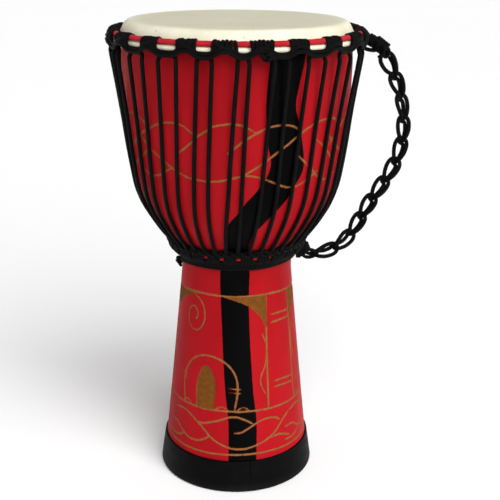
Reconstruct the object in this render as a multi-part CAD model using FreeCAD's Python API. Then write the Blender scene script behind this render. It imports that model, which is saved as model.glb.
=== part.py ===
import FreeCAD, Part
import math
import os

from FreeCAD import Vector

# Rope-tuned djembe, millimetres. +Z runs up the drum's axis from the centre of the foot's underside.
# Azimuths are in degrees, 0 at the front (-Y) and 90 at the handle (+X).

# ---- driving dimensions -------------------------------------------------------------------------
HEIGHT = 600.0              # floor to playing surface
SKIN_THICKNESS = 1.2
SKIN_GAP = 0.2              # between the shell's side and the skin's skirt
SKIN_TURN = 0.9             # each way, from the skin's inside to its outside at the turn over the edge
CLEARANCE = 0.3             # between curved faces of different pieces

FOOT_RADIUS = 104.0
FOOT_HEIGHT = 42.0
FOOT_FLOOR = 5.0            # thickness of rubber under the wood
FOOT_TOP_RADIUS = 98.4
FOOT_BORE = 88.0
FOOT_EDGE = 2.5             # rounding of the foot's lower edge
FOOT_LIP = 1.1              # rounding of its upper edge
QUARTER_ARC = 0.293         # how far the middle of a quarter arc is from its corner, in radii

# The shell's outline as (radius, height). Each MIDDLE is a point on the arc between its neighbours.
STEM_BASE = (99.8, FOOT_FLOOR)
STEM_MIDDLE = (83.6, 160.0)
STEM_TOP = (72.0, 280.0)
WAIST_MIDDLE = (72.8, 300.0)
FLARE_START = (76.6, 316.8)
FLARE_END = (99.5, 345.0)
SHOULDER_MIDDLE = (116.6, 372.0)
SHOULDER = (127.8, 405.0)
BOWL_MIDDLE = (138.2, 470.0)
BELLY = (142.0, 535.0)
BELLY_MIDDLE = (141.7, 565.0)
RIM_SIDE = (139.2, 589.0)
RIM_MIDDLE = (136.7, 594.9)
RIM_LAND = 131.5            # radius where the bearing edge turns flat
RIM_INSIDE = 126.0
LIP = (129.3, 588.0)
BOWL_TOP_MIDDLE = (130.6, 562.0)
BOWL_WIDEST = (130.0, 535.0)
BOWL_INSIDE_MIDDLE = (126.2, 468.0)
BOWL_FOOT = (116.5, 405.0)
FUNNEL_MIDDLE = (106.0, 374.0)
FUNNEL_TOP = (88.0, 346.0)
FUNNEL_BASE = (64.0, 318.0)
THROAT_MIDDLE = (57.0, 303.0)
THROAT = (55.0, 285.0)
BORE_MIDDLE = (68.0, 150.0)
BORE_BASE = (86.0, FOOT_FLOOR)

ROPE = 5.0                  # diameter of every rope
ROD = 5.0                   # diameter of the steel rings' rod
CLOTH_THICKNESS = 0.7
CROWN_RING = (150.7, 586.6)
FLESH_RING = (149.4, 579.4)
CRADLE_RUN = (157.0, 574.2)
HITCH_TOP = 592.2
HITCH_OUTER = 158.5
HITCH_INNER = 145.2
HITCH_BASE = 585.2          # underside at the inner edge
HITCH_SHOULDER = 588.6      # where the inner face starts to round over
HITCH_MIDDLE_INSIDE = (146.9, 591.2)
HITCH_MIDDLE_OUTSIDE = (156.3, 590.6)
BOTTOM_RING = (82.2, 318.0)
BOTTOM_BAND = (89.6, 328.2)
BOTTOM_LOOPS = 26
FIRST_BOTTOM_GAP = 2.5
BOTTOM_LOOP_SHARE = 0.76    # of the pitch that one loop covers
BOTTOM_LOOP_THICKNESS = 3.2
BOTTOM_LOOP_SIDE = [(0.0, -5.0), (9.0, -5.0), (9.0, 9.0), (1.5, 9.0)]   # from the ring's centre
BOTTOM_LINK = [(85.2, 322.6), (88.4, 321.0), (91.2, 327.4), (87.8, 327.4)]
WINDING_TURNS = 3
WINDING_START = 299.6
WINDING_RISE = 4.2          # height of one turn above the last
WINDING_TILT = 1.0          # a turn rests on the flare this far above its own centre

LOOPS = 20                  # cradle loops on the crown ring, each with one pair of lacing runs
LOOP_PITCH = 360.0 / LOOPS
FIRST_GAP = 3.4
GAP_WANDER = 3.4            # degrees, as the loops are spaced by hand
GAP_WANDER_CYCLES = 2
GAP_HALF_WIDTH = 3.5
GAP_WIDTH_CHANGE = 1.1
GAP_WIDTH_CYCLES = 4
LACING_TOP = (155.0, 568.4)
LACING_KNEE = (129.2, 380.0)
LACING_FOOT = (93.8, 332.6)
LACING_KNEE_RADIUS = 120.0
LACING_KNEE_SHARE = 0.6     # how far the twist has got where the lacing turns over the shoulder
LACING_FOOT_OFFSET = -7.1
LACING_BIGHT = 0.42         # bend radius over the cradle loop, in widths of the bight

CROWN_KNOT = (12.3, 162.3, 569.6)       # azimuth, radius, height
CROWN_KNOT_RADIUS = 4.2
WINDING_KNOT = (286.0, 76.2, 292.0)
WINDING_KNOT_RADIUS = 3.0
TOP_LASHING_RADIUS = 10.5
BOTTOM_LASHING_RADIUS = 7.5
LASHING_EDGE = 3.0
TOP_LASHING_LENGTH = 18.0
BOTTOM_LASHING_LENGTH = 14.0
HANDLE_WIDTH = 14.0
HANDLE_HINGE_TOP = Vector(172.5, 0.0, 573.0)
HANDLE_HINGE_BOTTOM = Vector(88.8, 0.0, 303.5)
HANDLE_ROUTE = [
    (183, 0, 557), (190.5, 0, 543), (200.5, 0, 520), (207, 0, 497), (210, 0, 473), (209, 0, 448),
    (203, 0, 424), (191.5, 0, 401), (178.5, 0, 381), (167, 0, 361), (156.5, 0, 340), (145, 0, 320),
    (127, 0, 304), (103, 0, 298)]

ORIGIN = Vector(0, 0, 0)
UP = Vector(0, 0, 1)


# ---- shared geometry ----------------------------------------------------------------------------
def at(azimuth, radius, z):
    turn = math.radians(azimuth)
    return Vector(radius * math.sin(turn), -radius * math.cos(turn), z)


def profile_point(point):
    """A (radius, height) pair as a point in the section plane through +X."""
    return Vector(point[0], 0, point[1])


def line(start, end):
    return Part.LineSegment(profile_point(start), profile_point(end)).toShape()


def arc(start, middle, end):
    return Part.Arc(profile_point(start), profile_point(middle), profile_point(end)).toShape()


def face_of(edges):
    return Part.Face(Part.Wire(edges))


def polygon(corners):
    return face_of([line(*ends) for ends in zip(corners, corners[1:] + corners[:1])])


def turned(face, start=0.0, span=360.0):
    """The section turned about the drum's axis, from one azimuth through a span."""
    solid = face.revolve(ORIGIN, UP, span)
    solid.rotate(ORIGIN, UP, start - 90)
    return solid


def disc(centre, radius):
    circle = Part.Circle(profile_point(centre), Vector(0, 1, 0), radius)
    return Part.Face(Part.Wire([circle.toShape()]))


def hoop(centre, radius):
    return turned(disc(centre, radius))


def tangent_path(points, radii):
    """Straight runs between the points, joined by tangent arcs of the given radii."""
    edges = []
    start = points[0]
    for before, corner, after, radius in zip(points, points[1:], points[2:], radii):
        back = (before - corner).normalize()
        ahead = (after - corner).normalize()
        half_turn = (math.pi - back.getAngle(ahead)) / 2
        reach = radius * math.tan(half_turn)
        arc_start = corner + back * reach
        arc_end = corner + ahead * reach
        inward = (back + ahead).normalize()
        arc_middle = corner + inward * (radius / math.cos(half_turn) - radius)
        edges.append(Part.LineSegment(start, arc_start).toShape())
        edges.append(Part.Arc(arc_start, arc_middle, arc_end).toShape())
        start = arc_end
    edges.append(Part.LineSegment(start, points[-1]).toShape())
    return Part.Wire(edges)


def widest_radii(points):
    """At each corner, 0.45 of the shorter run divided by the tangent of half the turn."""
    radii = []
    for before, corner, after in zip(points, points[1:], points[2:]):
        back = before - corner
        ahead = after - corner
        shorter = min(back.Length, ahead.Length)
        half_turn = (math.pi - back.getAngle(ahead)) / 2
        radii.append(0.45 * shorter / math.tan(half_turn))
    return radii


def rope_along(path, diameter):
    start = path.Edges[0]
    tangent = start.tangentAt(start.FirstParameter)
    circle = Part.Circle(start.valueAt(start.FirstParameter), tangent, diameter / 2)
    return path.makePipeShell([Part.Wire([circle.toShape()])], True, False)


# ---- wooden shell and rubber foot ---------------------------------------------------------------
def shell_side():
    """The shell's outer side from the foot's floor up to the flat of the bearing edge."""
    return [
        arc(STEM_BASE, STEM_MIDDLE, STEM_TOP),
        arc(STEM_TOP, WAIST_MIDDLE, FLARE_START),
        line(FLARE_START, FLARE_END),
        arc(FLARE_END, SHOULDER_MIDDLE, SHOULDER),
        arc(SHOULDER, BOWL_MIDDLE, BELLY),
        arc(BELLY, BELLY_MIDDLE, RIM_SIDE),
        arc(RIM_SIDE, RIM_MIDDLE, (RIM_LAND, HEIGHT - SKIN_THICKNESS)),
    ]


def shell_radius(z):
    """The shell's outer radius at a height, read from its side outline."""
    points = [p for edge in shell_side() for p in edge.discretize(Number=60)]
    for low, high in zip(points, points[1:]):
        if low.z <= z <= high.z and high.z > low.z:
            share = (z - low.z) / (high.z - low.z)
            return low.x + share * (high.x - low.x)
    raise ValueError("no shell at this height")


def make_shell():
    top = HEIGHT - SKIN_THICKNESS
    inside = [
        line((RIM_LAND, top), (RIM_INSIDE, top)),
        line((RIM_INSIDE, top), LIP),
        arc(LIP, BOWL_TOP_MIDDLE, BOWL_WIDEST),
        arc(BOWL_WIDEST, BOWL_INSIDE_MIDDLE, BOWL_FOOT),
        arc(BOWL_FOOT, FUNNEL_MIDDLE, FUNNEL_TOP),
        line(FUNNEL_TOP, FUNNEL_BASE),
        arc(FUNNEL_BASE, THROAT_MIDDLE, THROAT),
        arc(THROAT, BORE_MIDDLE, BORE_BASE),
        line(BORE_BASE, STEM_BASE),
    ]
    return turned(face_of(shell_side() + inside))


def make_rubber_foot():
    """A moulded boot: a floor under the end grain and a wall up the stem."""
    edge_bite = QUARTER_ARC * FOOT_EDGE
    lip_bite = QUARTER_ARC * FOOT_LIP
    outline = face_of([
        line((FOOT_BORE, 0), (FOOT_RADIUS - FOOT_EDGE, 0)),
        arc((FOOT_RADIUS - FOOT_EDGE, 0), (FOOT_RADIUS - edge_bite, edge_bite), (FOOT_RADIUS, FOOT_EDGE)),
        line((FOOT_RADIUS, FOOT_EDGE), (FOOT_TOP_RADIUS, FOOT_HEIGHT - FOOT_LIP)),
        arc((FOOT_TOP_RADIUS, FOOT_HEIGHT - FOOT_LIP), (FOOT_TOP_RADIUS - lip_bite, FOOT_HEIGHT - lip_bite),
            (FOOT_TOP_RADIUS - FOOT_LIP, FOOT_HEIGHT)),
        line((FOOT_TOP_RADIUS - FOOT_LIP, FOOT_HEIGHT), (FOOT_BORE, FOOT_HEIGHT)),
        line((FOOT_BORE, FOOT_HEIGHT), (FOOT_BORE, 0)),
    ])
    stem = turned(face_of([
        arc(STEM_BASE, STEM_MIDDLE, STEM_TOP),
        line(STEM_TOP, (0, STEM_TOP[1])),
        line((0, STEM_TOP[1]), (0, FOOT_FLOOR)),
        line((0, FOOT_FLOOR), STEM_BASE),
    ]))
    return turned(outline).cut(stem)


# ---- skin ---------------------------------------------------------------------------------------
def make_drum_head():
    """The flat playing surface and its turn over the bearing edge."""
    under = HEIGHT - SKIN_THICKNESS
    seat = RIM_SIDE[0] + SKIN_GAP
    outer = seat + SKIN_THICKNESS
    turn_inside = (RIM_MIDDLE[0] + SKIN_GAP, RIM_MIDDLE[1] + SKIN_GAP)
    turn_outside = (turn_inside[0] + SKIN_TURN, turn_inside[1] + SKIN_TURN)
    return turned(face_of([
        line((0, under), (RIM_LAND, under)),
        arc((RIM_LAND, under), turn_inside, (seat, RIM_SIDE[1])),
        line((seat, RIM_SIDE[1]), (outer, RIM_SIDE[1])),
        arc((outer, RIM_SIDE[1]), turn_outside, (RIM_LAND, HEIGHT)),
        line((RIM_LAND, HEIGHT), (0, HEIGHT)),
        line((0, HEIGHT), (0, under)),
    ]))


def make_head_skirt():
    """The skin's side, down to the flesh ring and tucked round it."""
    rod = ROD / 2
    tuck_inner = rod + CLEARANCE
    tuck_outer = tuck_inner + SKIN_THICKNESS - CLEARANCE
    seat = RIM_SIDE[0] + SKIN_GAP
    side = face_of([
        line((seat, RIM_SIDE[1]), (FLESH_RING[0] - tuck_outer, FLESH_RING[1])),
        line((FLESH_RING[0] - tuck_outer, FLESH_RING[1]), (FLESH_RING[0] - tuck_inner, FLESH_RING[1])),
        line((FLESH_RING[0] - tuck_inner, FLESH_RING[1]), (seat + SKIN_THICKNESS, RIM_SIDE[1])),
        line((seat + SKIN_THICKNESS, RIM_SIDE[1]), (seat, RIM_SIDE[1])),
    ])
    tuck = disc(FLESH_RING, tuck_outer).cut(disc(FLESH_RING, tuck_inner))
    return turned(side).fuse(turned(tuck.Faces[0])).cut(hoop(FLESH_RING, tuck_inner))


# ---- rings --------------------------------------------------------------------------------------
def make_cloth(centre):
    return hoop(centre, ROD / 2 + CLOTH_THICKNESS).cut(hoop(centre, ROD / 2))


# ---- cradle loops on the crown ring -------------------------------------------------------------
def gap_centre(index):
    """The azimuth of the middle of one gap between hitches, which are spaced by hand."""
    wander = math.sin(math.radians(GAP_WANDER_CYCLES * LOOP_PITCH * index))
    return FIRST_GAP + LOOP_PITCH * index - GAP_WANDER * wander


def gap_half_width(index):
    change = math.cos(math.radians(GAP_WIDTH_CYCLES * LOOP_PITCH * index))
    return GAP_HALF_WIDTH - GAP_WIDTH_CHANGE * change


def hitch_span(index):
    start = gap_centre(index) + gap_half_width(index)
    end = gap_centre(index + 1) - gap_half_width(index + 1)
    return start, end


def make_crown_loop(index):
    """One hitch of rope turns round the crown ring, with its cradle run across half of each gap."""
    cradle_top = CRADLE_RUN[1]
    inner_leg = CRADLE_RUN[0] - ROPE / 2
    section = face_of([
        line((HITCH_INNER, HITCH_BASE), (HITCH_INNER, HITCH_SHOULDER)),
        arc((HITCH_INNER, HITCH_SHOULDER), HITCH_MIDDLE_INSIDE, (CROWN_RING[0], HITCH_TOP)),
        arc((CROWN_RING[0], HITCH_TOP), HITCH_MIDDLE_OUTSIDE, (HITCH_OUTER, CROWN_RING[1])),
        line((HITCH_OUTER, CROWN_RING[1]), (CRADLE_RUN[0] + ROPE / 2, cradle_top)),
        arc((CRADLE_RUN[0] + ROPE / 2, cradle_top), (CRADLE_RUN[0], cradle_top - ROPE / 2),
            (inner_leg, cradle_top)),
        line((inner_leg, cradle_top), (inner_leg, HITCH_BASE - 1)),
        line((inner_leg, HITCH_BASE - 1), (HITCH_INNER, HITCH_BASE)),
    ])
    ring = disc(CROWN_RING, ROD / 2 + CLOTH_THICKNESS)
    start, end = hitch_span(index)
    hitch = turned(section.cut(ring).Faces[0], start, end - start)
    first = gap_centre(index)
    last = gap_centre(index + 1)
    cradle = turned(disc(CRADLE_RUN, ROPE / 2), first, last - first)
    return hitch.fuse(cradle).removeSplitter()


# ---- lacing -------------------------------------------------------------------------------------
def lacing_points(top_azimuth, foot_azimuth):
    knee_azimuth = top_azimuth + LACING_KNEE_SHARE * (foot_azimuth - top_azimuth)
    return [at(foot_azimuth, *LACING_FOOT), at(knee_azimuth, *LACING_KNEE), at(top_azimuth, *LACING_TOP)]


def make_lacing(index):
    """One bight of the lacing: up from the waist, over a cradle loop and down again."""
    middle = gap_centre(index)
    half = gap_half_width(index)
    foot = LOOP_PITCH * index + LACING_FOOT_OFFSET
    rising = lacing_points(middle - half, foot)
    falling = lacing_points(middle + half, foot + LOOP_PITCH / 2)
    points = rising + falling[::-1]
    bight = LACING_BIGHT * (falling[2] - rising[2]).Length
    radii = [LACING_KNEE_RADIUS, bight, bight, LACING_KNEE_RADIUS]
    return rope_along(tangent_path(points, radii), ROPE)


# ---- waist --------------------------------------------------------------------------------------
def make_bottom_loops():
    """A rope band above the bottom ring, hitched over the ring's outer side."""
    grip = ROD / 2 + CLOTH_THICKNESS
    pitch = 360.0 / BOTTOM_LOOPS
    margin = (1 - BOTTOM_LOOP_SHARE) / 2
    wrap = disc(BOTTOM_RING, grip + BOTTOM_LOOP_THICKNESS).cut(disc(BOTTOM_RING, grip))
    outside = polygon([(BOTTOM_RING[0] + across, BOTTOM_RING[1] + up) for across, up in BOTTOM_LOOP_SIDE])
    hitch = wrap.common(outside).Faces[0]
    link = polygon(BOTTOM_LINK)
    loops = hoop(BOTTOM_BAND, ROPE / 2)
    for index in range(BOTTOM_LOOPS):
        start = FIRST_BOTTOM_GAP + (index + margin) * pitch
        span = BOTTOM_LOOP_SHARE * pitch
        loops = loops.fuse([turned(hitch, start, span), turned(link, start, span)])
    return loops.removeSplitter()


def make_winding():
    """The spare end of the lacing wound round the waist, turn above turn."""
    turns = []
    for index in range(WINDING_TURNS):
        z = WINDING_START + index * WINDING_RISE
        radius = shell_radius(z + WINDING_TILT) + ROPE / 2 + CLEARANCE
        turns.append(hoop((radius, z), ROPE / 2))
    return turns[0].fuse(turns[1:])


def make_lashing(centre, radius, length):
    """A rope whipping round the handle's hinge line."""
    along = (HANDLE_HINGE_TOP - HANDLE_HINGE_BOTTOM).normalize()
    body = Part.makeCylinder(radius, length, centre - along * (length / 2), along)
    rims = [edge for edge in body.Edges if edge.Curve.TypeId == "Part::GeomCircle"]
    return body.makeFillet(LASHING_EDGE, rims)


def make_handle():
    points = [Vector(*point) for point in HANDLE_ROUTE]
    radii = widest_radii(points)
    print("handle bend radii, mm:", [round(radius) for radius in radii])
    path = tangent_path(points, radii)
    tube = rope_along(path, HANDLE_WIDTH)
    ratio = tube.Volume / (math.pi * HANDLE_WIDTH ** 2 / 4 * path.Length)
    print("handle length, mm:", round(path.Length, 1), "volume ratio:", round(ratio, 4))
    return tube


# ---- the whole drum -----------------------------------------------------------------------------
def all_nodes():
    nodes = {
        "shell": make_shell(),
        "rubber_foot": make_rubber_foot(),
        "drum_head": make_drum_head(),
        "head_skirt": make_head_skirt(),
        "flesh_ring": hoop(FLESH_RING, ROD / 2),
        "crown_ring": hoop(CROWN_RING, ROD / 2),
        "crown_ring_cloth": make_cloth(CROWN_RING),
        "bottom_ring": hoop(BOTTOM_RING, ROD / 2),
        "bottom_ring_cloth": make_cloth(BOTTOM_RING),
        "bottom_loops": make_bottom_loops(),
        "waist_winding": make_winding(),
        "crown_rope_knot": Part.makeSphere(CROWN_KNOT_RADIUS, at(*CROWN_KNOT)),
        "winding_knot": Part.makeSphere(WINDING_KNOT_RADIUS, at(*WINDING_KNOT)),
        "handle_top_lashing": make_lashing(HANDLE_HINGE_TOP, TOP_LASHING_RADIUS, TOP_LASHING_LENGTH),
        "handle_bottom_lashing": make_lashing(HANDLE_HINGE_BOTTOM, BOTTOM_LASHING_RADIUS,
                                              BOTTOM_LASHING_LENGTH),
        "handle_rope": make_handle(),
    }
    for index in range(LOOPS):
        nodes["crown_loop_%02d" % (index + 1)] = make_crown_loop(index)
        nodes["lacing_%02d" % (index + 1)] = make_lacing(index)
    return nodes


os.makedirs("parts", exist_ok=True)
for name, shape in all_nodes().items():
    if not shape.isValid():
        print("not valid:", name)
    shape.exportStep("parts/%s.step" % name)
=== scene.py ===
import math

import bpy
import numpy as np
from mathutils import Matrix
from mathutils.kdtree import KDTree


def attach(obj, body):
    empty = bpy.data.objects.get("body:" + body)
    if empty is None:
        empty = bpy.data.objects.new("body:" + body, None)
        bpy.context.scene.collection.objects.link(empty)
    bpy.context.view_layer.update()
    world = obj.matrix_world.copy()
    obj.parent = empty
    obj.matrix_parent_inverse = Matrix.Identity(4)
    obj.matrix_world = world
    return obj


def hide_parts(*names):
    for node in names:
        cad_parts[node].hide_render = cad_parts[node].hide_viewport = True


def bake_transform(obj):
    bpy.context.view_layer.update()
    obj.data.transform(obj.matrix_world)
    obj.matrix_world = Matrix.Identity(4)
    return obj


# A rope-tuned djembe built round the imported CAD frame. The drum's and the floor's lengths are in
# millimetres, and azimuths in degrees from the front (-Y) towards the handle (+X).
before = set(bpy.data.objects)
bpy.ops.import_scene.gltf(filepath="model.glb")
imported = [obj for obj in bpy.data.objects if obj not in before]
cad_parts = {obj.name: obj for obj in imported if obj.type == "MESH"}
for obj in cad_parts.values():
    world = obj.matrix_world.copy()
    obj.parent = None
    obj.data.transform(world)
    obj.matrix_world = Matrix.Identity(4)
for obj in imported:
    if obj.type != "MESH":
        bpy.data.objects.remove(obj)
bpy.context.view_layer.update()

MM = 0.001
ROPE = 5.0
ROPE_RADIUS = ROPE / 2
ROPE_STEP = 2.0             # between a rope's rings of vertices, and finer where it bends sharply
FINE_STEP = 1.8
ROPE_SIDES = 12

LOOPS = 20
LOOP_PITCH = 360.0 / LOOPS
FIRST_GAP = 3.4             # azimuth of the first gap between hitches
CROWN_RING = (150.7, 586.6)     # each ring's radius and height
FLESH_RING = (149.4, 579.4)
BOTTOM_RING = (82.2, 318.0)
BOTTOM_LOOPS = 26
FIRST_BOTTOM_GAP = 2.5
RING_GRIP = 3.2             # radius of a ring's rod and its cloth together
HANDLE_ROUTE = [
    (183, 0, 557), (190.5, 0, 543), (200.5, 0, 520), (207, 0, 497), (210, 0, 473), (209, 0, 448),
    (203, 0, 424), (191.5, 0, 401), (178.5, 0, 381), (167, 0, 361), (156.5, 0, 340), (145, 0, 320),
    (127, 0, 304), (103, 0, 298)]

rng = np.random.default_rng(11)


# ---- curves and meshes ----
def polar(azimuth, radius, z):
    """Points at azimuths, radii and heights, which may be arrays of one shape."""
    turn = np.radians(azimuth)
    return np.stack(np.broadcast_arrays(radius * np.sin(turn), -radius * np.cos(turn), z), -1)


def unit(vectors):
    return vectors / np.linalg.norm(vectors, axis=-1, keepdims=True)


def distances(path):
    """How far each point is along the line."""
    return np.concatenate([[0.0], np.cumsum(np.linalg.norm(np.diff(path, axis=0), axis=1))])


def respace(path, step, closed=False):
    """The same line with its points a step apart."""
    if closed:
        path = np.vstack([path, path[:1]])
    run = distances(path)
    count = max(2, int(round(run[-1] / step)))
    places = np.linspace(0.0, run[-1], count + 1)
    if closed:
        places = places[:-1]
    return np.stack([np.interp(places, run, path[:, k]) for k in range(path.shape[1])], -1)


def through(points, step, closed=False):
    """A Catmull-Rom curve through the points, 16 samples to a span before it is respaced."""
    p = np.asarray(points, float)
    if closed:
        p = np.vstack([p[-1:], p, p[:2]])
    else:
        p = np.vstack([2 * p[0] - p[1], p, 2 * p[-1] - p[-2]])
    a, b, c, d = (p[k:len(p) - 3 + k, None] for k in range(4))
    t = np.linspace(0, 1, 16, endpoint=False)[None, :, None]
    dense = b + 0.5 * t * (c - a + t * (2 * a - 5 * b + 4 * c - d + t * (3 * (b - c) + d - a)))
    dense = dense.reshape(-1, p.shape[1])
    if not closed:
        dense = np.vstack([dense, p[-2:-1]])
    return respace(dense, step, closed)


class Grids:
    """Gathers grids of quads into one mesh, with UVs: u round each row from 0 to 1, v along."""

    def __init__(self):
        self.points = []
        self.faces = []
        self.uvs = []
        self.count = 0

    def rings(self, rows, along, closed=False):
        """rows is (n, m, 3), each row a closed ring; along is each row's v. Open ends are capped."""
        n, m = rows.shape[:2]
        i = np.arange(n if closed else n - 1)[:, None]
        j = np.arange(m)[None, :]
        after, beside = (i + 1) % n, (j + 1) % m
        corners = [i * m + j, i * m + beside, after * m + beside, after * m + j]
        quads = np.stack(corners, -1).reshape(-1, 4) + self.count
        start = np.broadcast_to(np.asarray(along)[i], (len(i), m))
        rise = np.diff(along, append=2 * along[-1] - along[-2])
        end = start + np.broadcast_to(rise[i], (len(i), m))
        left = np.broadcast_to(j / m, start.shape)
        right = left + 1 / m
        uv = np.stack([np.stack(pair, -1) for pair in
                       ((left, start), (right, start), (right, end), (left, end))], 2)
        self.faces += quads.tolist()
        self.uvs.append(uv.reshape(-1, 2))
        if not closed:
            self.faces.append(list(range(self.count + m - 1, self.count - 1, -1)))
            self.faces.append(list(range(self.count + (n - 1) * m, self.count + n * m)))
            self.uvs.append(np.zeros((2 * m, 2)))
        self.points.append(rows.reshape(-1, 3))
        self.count += n * m

    def rope(self, path, radius=ROPE_RADIUS, closed=False):
        """A round rope along evenly spaced points, with rounded ends."""
        path = np.asarray(path, float)
        girth = np.full(len(path), float(radius))
        if not closed:
            turn = np.radians([80.0, 52.0, 26.0])[:, None]
            first, last = unit(path[0] - path[1]), unit(path[-1] - path[-2])
            lead = path[0] + first * radius * np.sin(turn)
            tail = path[-1] + last * radius * np.sin(turn[::-1])
            path = np.vstack([lead, path, tail])
            round_off = radius * np.cos(turn[:, 0])
            girth = np.concatenate([round_off, girth, round_off[::-1]])
            tangent = unit(np.gradient(path, axis=0))
        else:
            tangent = unit(np.roll(path, -1, 0) - np.roll(path, 1, 0))
        normal = np.cross(tangent[0], np.eye(3)[np.argmin(abs(tangent[0]))])
        normals = np.empty_like(path)
        for index, ahead in enumerate(tangent):
            normal = unit(normal - ahead * (normal @ ahead))
            normals[index] = normal
        sideways = np.cross(tangent, normals)
        slip = 0.0
        if closed:
            last = unit(normal - tangent[0] * (normal @ tangent[0]))
            slip = math.atan2(last @ sideways[0], last @ normals[0])
        turns = np.linspace(0, 2 * np.pi, ROPE_SIDES, endpoint=False)[None, :]
        turns = turns - slip * np.linspace(0, 1, len(path), endpoint=False)[:, None]
        ring = np.cos(turns)[..., None] * normals[:, None] + np.sin(turns)[..., None] * sideways[:, None]
        rows = path[:, None] + ring * girth[:, None, None]
        self.rings(rows, distances(path) / (2 * radius), closed)

    def rope_through(self, points, radius=ROPE_RADIUS, step=ROPE_STEP, closed=False):
        self.rope(through(points, step, closed), radius, closed)

    def make(self, name, material, body=None):
        points = np.vstack(self.points)
        return make_mesh(name, points, self.faces, material, np.vstack(self.uvs), body)


def make_mesh(name, points, faces, material, uv=None, body=None):
    mesh = bpy.data.meshes.new(name)
    mesh.from_pydata((points * MM).tolist(), [], faces)
    if uv is not None:
        mesh.uv_layers.new(name="UVMap").data.foreach_set("uv", uv.astype(np.float32).ravel())
    mesh.polygons.foreach_set("use_smooth", np.ones(len(mesh.polygons), bool))
    mesh.materials.append(material)
    piece = bpy.data.objects.new(name, mesh)
    bpy.context.scene.collection.objects.link(piece)
    if body:
        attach(piece, body)
    return piece


def lathe(profile, columns):
    """Rings of points for a section of (radius, height) pairs."""
    azimuths = np.arange(columns) * 360.0 / columns
    profile = np.asarray(profile, float)
    return azimuths, polar(azimuths[None, :], profile[:, :1], profile[:, 1:])


def arc_points(centre, radius, start, end, count):
    turn = np.radians(np.linspace(start, end, count))
    return np.stack([centre[0] + radius * np.cos(turn), centre[1] + radius * np.sin(turn)], -1)


def ripple(azimuth, along, count, most_cycles, most_rise, amplitude):
    """A smooth uneven surface, the mean of random waves: up to most_cycles round the drum, and up to
    most_rise a metre along."""
    cycles = rng.integers(1, most_cycles, count)
    rises = rng.uniform(-most_rise, most_rise, count)
    phases = rng.uniform(0, 2 * np.pi, count)
    total = 0.0
    for cycle, rise, phase in zip(cycles, rises, phases):
        total = total + np.sin(np.radians(azimuth) * cycle + along * rise * 2 * np.pi * MM + phase)
    return total * amplitude / count


# ---- materials ----
def linear(red, green, blue):
    """A display colour, 0 to 255, as Blender's scene-linear colour."""
    values = [value / 255 for value in (red, green, blue)]
    return [v / 12.92 if v <= 0.04045 else ((v + 0.055) / 1.055) ** 2.4 for v in values] + [1.0]


class Finish:
    """A material's node tree, with short calls for the nodes used here."""

    def __init__(self, name, **values):
        self.material = bpy.data.materials.new(name)
        self.material.use_nodes = True
        self.tree = self.material.node_tree
        self.shader = self.tree.nodes["Principled BSDF"]
        for socket, value in values.items():
            self.shader.inputs[socket.replace("_", " ")].default_value = value

    def add(self, kind, *values, **settings):
        node = self.tree.nodes.new(kind)
        for key, value in settings.items():
            setattr(node, key, value)
        for socket, value in zip(node.inputs, values):
            self.put(socket, value)
        return node

    def put(self, socket, value):
        if isinstance(value, bpy.types.NodeSocket):
            self.tree.links.new(value, socket)
        elif value is not None:
            socket.default_value = value

    def math(self, operation, *values):
        return self.add("ShaderNodeMath", *values, operation=operation).outputs[0]

    def place(self, stretch=(1, 1, 1)):
        """Object coordinates in metres, scaled."""
        coordinates = self.add("ShaderNodeTexCoord")
        mapping = self.add("ShaderNodeMapping")
        self.put(mapping.inputs["Vector"], coordinates.outputs["Object"])
        self.put(mapping.inputs["Scale"], stretch)
        return mapping.outputs[0]

    def noise(self, vector, scale, detail=3.0, roughness=0.5):
        node = self.add("ShaderNodeTexNoise")
        self.put(node.inputs["Vector"], vector)
        for key, value in (("Scale", scale), ("Detail", detail), ("Roughness", roughness)):
            self.put(node.inputs[key], value)
        return node.outputs["Fac"]

    def cells(self, vector, scale):
        node = self.add("ShaderNodeTexVoronoi")
        self.put(node.inputs["Vector"], vector)
        self.put(node.inputs["Scale"], scale)
        return node.outputs["Distance"]

    def spread(self, value, low, high, to_low=0.0, to_high=1.0):
        return self.add("ShaderNodeMapRange", value, low, high, to_low, to_high).outputs[0]

    def mix(self, factor, first, second):
        node = self.add("ShaderNodeMix", data_type="RGBA")
        for index, value in ((0, factor), (6, first), (7, second)):
            self.put(node.inputs[index], value)
        return node.outputs[2]

    def tint(self, value, low, high, first, second):
        """From the first display colour at low to the second at high."""
        return self.mix(self.spread(value, low, high), linear(*first), linear(*second))

    def attribute(self, name):
        return self.add("ShaderNodeAttribute", attribute_name=name).outputs["Fac"]

    def bump(self, height, distance, strength=1.0, normal=None):
        node = self.add("ShaderNodeBump")
        for key, value in (("Height", height), ("Distance", distance), ("Strength", strength),
                           ("Normal", normal)):
            self.put(node.inputs[key], value)
        return node.outputs[0]

    def set(self, **sockets):
        for socket, value in sockets.items():
            self.put(self.shader.inputs[socket.replace("_", " ")], value)
        return self.material


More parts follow.
